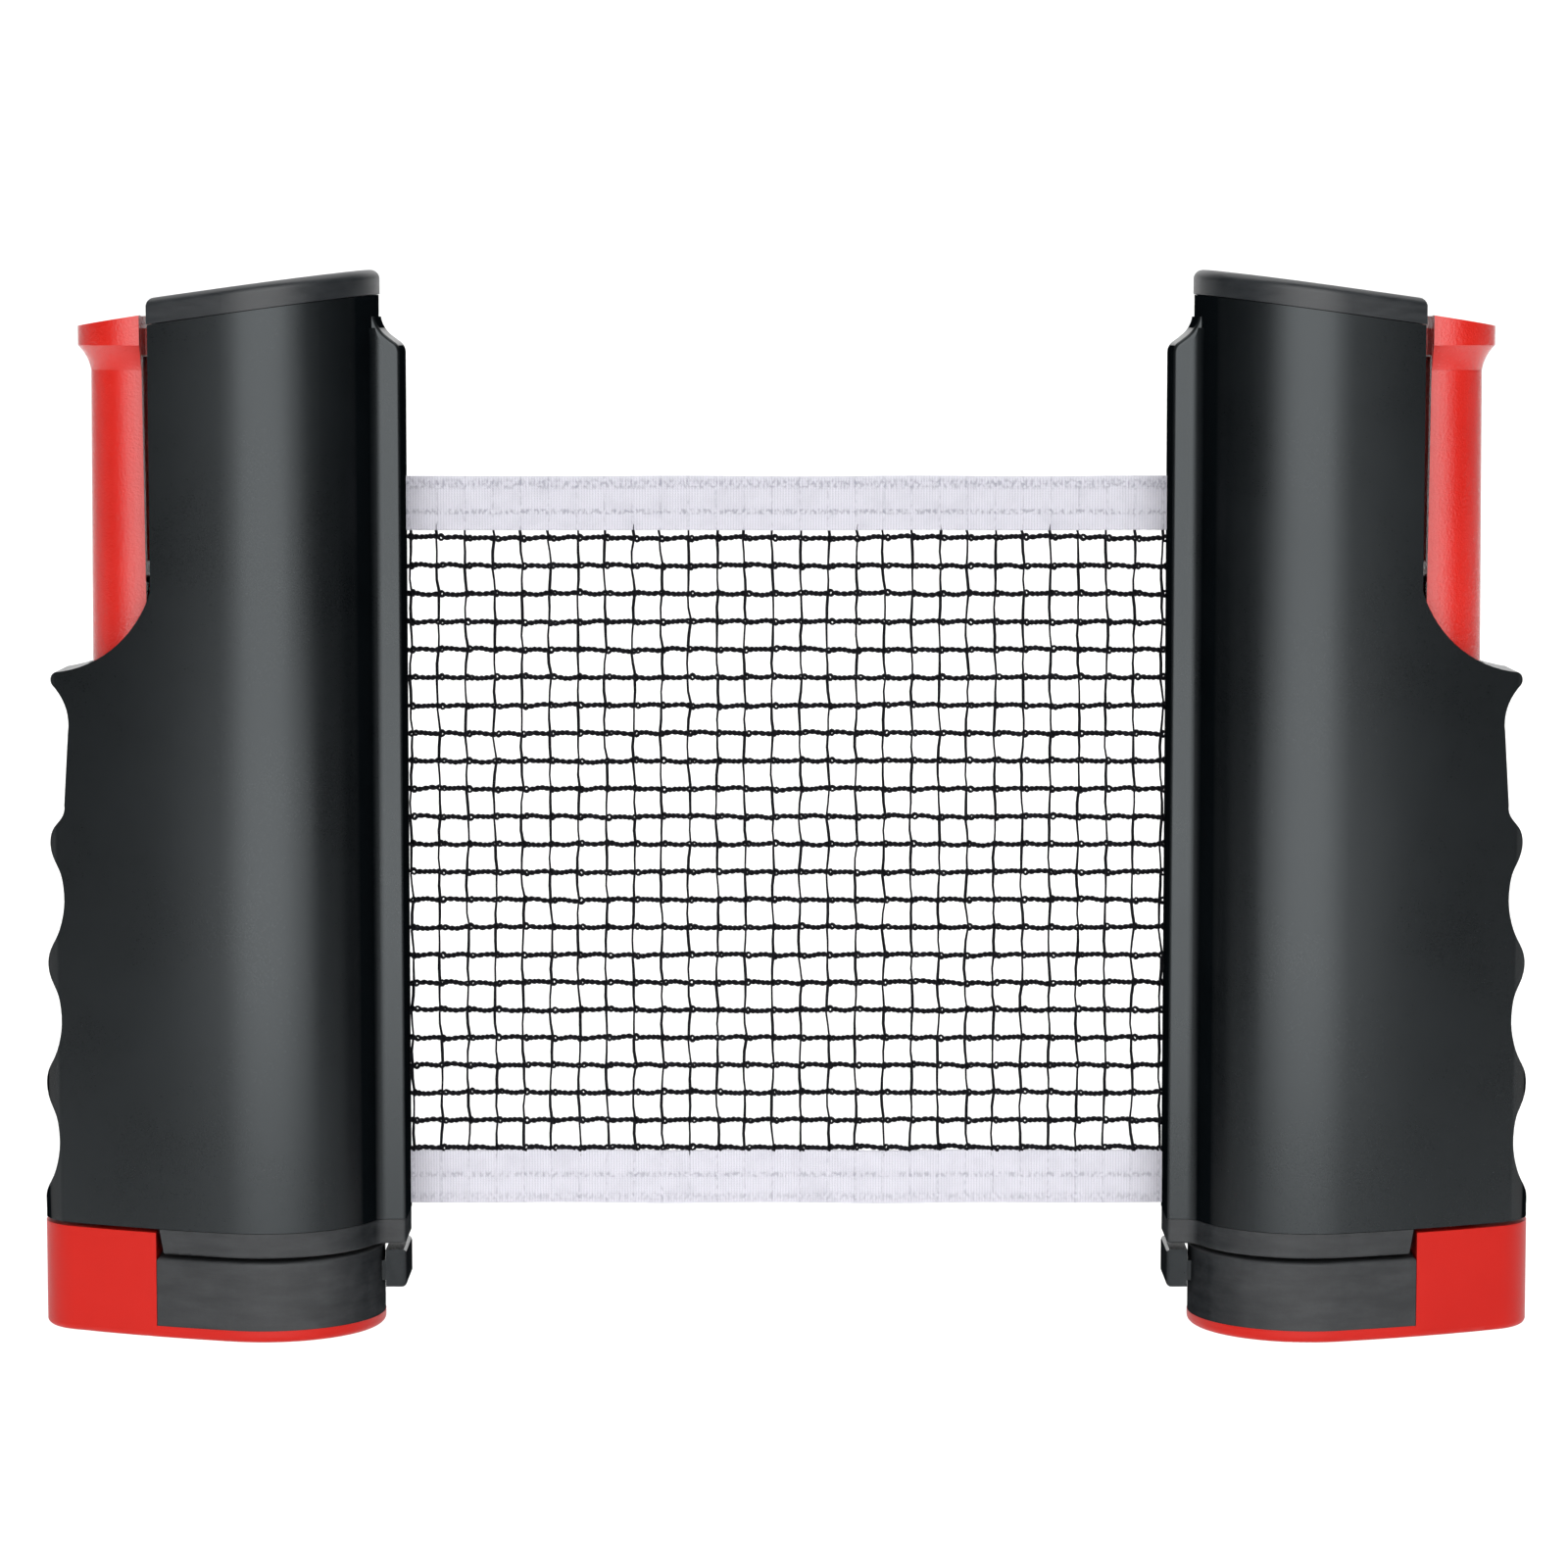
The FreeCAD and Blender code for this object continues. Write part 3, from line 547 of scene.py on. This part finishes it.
reserve()
for side, inward in (("left", 1), ("right", -1)):
    low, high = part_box(side + "_net_roll")
    outer, axis_x = (high.x - low.x) / 2, (high.x + low.x) / 2
    path = spiral(outer, ROLL_PITCH)
    roll = cloth_along(side + "_wound_net", path * (inward, 1) + (axis_x, 0), ROLL_CLOTH)
    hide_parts(side + "_net_roll")
    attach(roll, side + "_reel")

    # The straight piece from the slot to the roll; on the left it ends behind the reserve.
    mouth = -HALF - RESERVE - 0.2 * MM if side == "left" else HALF + 0.5 * MM
    reach, away = outer + 0.45 * MM, (mouth - axis_x) * inward
    turn = math.atan2(NET_Y, away) + math.acos(reach / math.hypot(away, NET_Y))
    touch = (axis_x + inward * reach * math.cos(turn), reach * math.sin(turn))
    lead = cloth_along(side + "_lead", [(mouth, NET_Y), touch], LEAD_CLOTH)
    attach(lead, side + "_post")

    low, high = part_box(side + "_clamp_spring")
    wire = 0.5 * MM
    radius = (high.x - low.x) / 2 - wire
    turn = np.linspace(0, SPRING_TURNS * 2 * math.pi, SPRING_TURNS * 28 + 1)
    rise = np.clip((turn - 5.5) / (turn[-1] - 11.0), 0, 1)   # the end turns lie flat
    coil = np.stack([(low.x + high.x) / 2 + radius * np.cos(turn), radius * np.sin(turn),
                     low.z + wire + 0.1 * MM * turn + rise * (high.z - low.z - 2 * wire - 0.1 * MM * turn[-1])], axis=1)
    spring = tubes(side + "_coil", [(coil, wire)], 10, SPRING)
    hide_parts(side + "_clamp_spring")
    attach(spring, side + "_post")
    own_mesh(spring)


# ---- stage, lights and camera -------------------------------------------------------------
PALE = (0.9, 0.9, 0.9)
FLOOR_DROP = 0.06   # below the soles, so that the jaws can open


def paper(name, near, far):
    """Pale paper that turns to the tone near in front of the object, and to far beyond the front lights."""
    n = Nodes(name)
    in_front = n.remap(n.xyz()[1], -0.5, -0.05, 1.0, 0.0)
    beyond = n.remap(n.xyz()[1], -1.9, -1.5, 1.0, 0.0)
    color = n.mix(beyond, n.mix(in_front, PALE, near), far)
    cloud = n.remap(n.noise(3.0, 3.0, 0.5), 0, 1, 0, 0.03)
    return n.set(Base_Color=n.mix(cloud, color, (0.86, 0.86, 0.86)), Roughness=0.9, Specular_IOR_Level=0.1)


def floor(name, behind, front, wide, material):
    """A sweep that is flat under the object and curves up far behind it, from -wide to wide."""
    deep, tall, bend = 4.0 + behind, 5.0, 1.5
    flat = deep - bend
    line = [(front, 0.0), (flat, 0.0)]
    line += [(flat + bend * math.sin(a), bend - bend * math.cos(a)) for a in np.linspace(0.1, math.pi / 2, 14)]
    line += [(deep, tall)]
    verts = [(x, y, z - FLOOR_DROP - behind) for y, z in line for x in (-wide, wide)]
    faces = [(2 * i, 2 * i + 1, 2 * i + 3, 2 * i + 2) for i in range(len(line) - 1)]
    obj = mesh_object(name, verts, faces, [material])
    return obj


# The floor that is seen is pale all over. A second one, a hair behind it, is what the object mirrors and is
# lit by: it is darker in front, as with a black flag on a studio table, so that the black plastic stays black.
seen = floor("floor", 0.0, -5.0, 2.2, paper("floor_paper", PALE, PALE))
seen.visible_diffuse = seen.visible_glossy = seen.visible_shadow = False
flag = floor("floor_flag", 0.001, -6.0, 8.0, paper("flag_paper", (0.2, 0.2, 0.2), (0.02, 0.02, 0.02)))
flag.visible_camera = False


def area_light(name, at, toward, size, power, spread=180):
    """A rectangular soft light that the camera does not see; power in watts, spread in degrees."""
    data = bpy.data.lights.new(name, "AREA")
    data.shape = "RECTANGLE"
    data.size, data.size_y = size
    data.energy = power
    data.spread = math.radians(spread)
    obj = bpy.data.objects.new(name, data)
    bpy.context.scene.collection.objects.link(obj)
    obj.location = at
    obj.rotation_euler = (Vector(toward) - Vector(at)).to_track_quat("-Z", "Y").to_euler()
    obj.visible_camera = False


area_light("front_core", (0.0, -1.5, 0.45), (0, 0, 0.1), (1.4, 1.9), 16.5)
area_light("front_wide", (0.0, -1.55, 0.45), (0, 0, 0.1), (2.5, 1.9), 25.0)
area_light("front_low", (0.0, -0.5, 0.012), (0, 0, 0.012), (1.0, 0.11), 0.95)
area_light("above", (0.0, 0.9, 2.2), (0, 0.9, 0), (6.2, 2.6), 59.0, spread=110)
area_light("behind", (0.0, 3.0, 1.9), (0, 3.6, 0), (6.0, 3.0), 90.0)
area_light("front_floor", (0.7, -4.0, 2.5), (0.7, -4.0, 0), (8.0, 4.0), 200.0, spread=70)

# The room is white to the camera and dim to everything else.
world = bpy.data.worlds.new("studio")
world.use_nodes = True
nodes, links = world.node_tree.nodes, world.node_tree.links
dim = nodes["Background"]
wall = nodes.new("ShaderNodeBackground")
for background, strength in ((dim, 0.07), (wall, 1.0)):
    background.inputs["Color"].default_value = (1, 1, 1, 1)
    background.inputs["Strength"].default_value = strength
rays = nodes.new("ShaderNodeLightPath")
pick = nodes.new("ShaderNodeMixShader")
links.new(rays.outputs["Is Camera Ray"], pick.inputs["Fac"])
links.new(dim.outputs["Background"], pick.inputs[1])
links.new(wall.outputs["Background"], pick.inputs[2])
links.new(pick.outputs["Shader"], nodes["World Output"].inputs["Surface"])
bpy.context.scene.world = world
bpy.context.scene.view_settings.view_transform = "Standard"

CAMERA_PITCH = 5.477   # degrees below the horizon
lens = bpy.data.cameras.new("camera")
lens.lens, lens.sensor_width = 114.15, 36.0
lens.clip_start, lens.clip_end = 0.01, 50.0
camera = bpy.data.objects.new("camera", lens)
bpy.context.scene.collection.objects.link(camera)
camera.location = (-0.0005, -0.984, 0.2026)
camera.rotation_euler = (math.radians(90 - CAMERA_PITCH), 0, 0)
bpy.context.scene.camera = camera
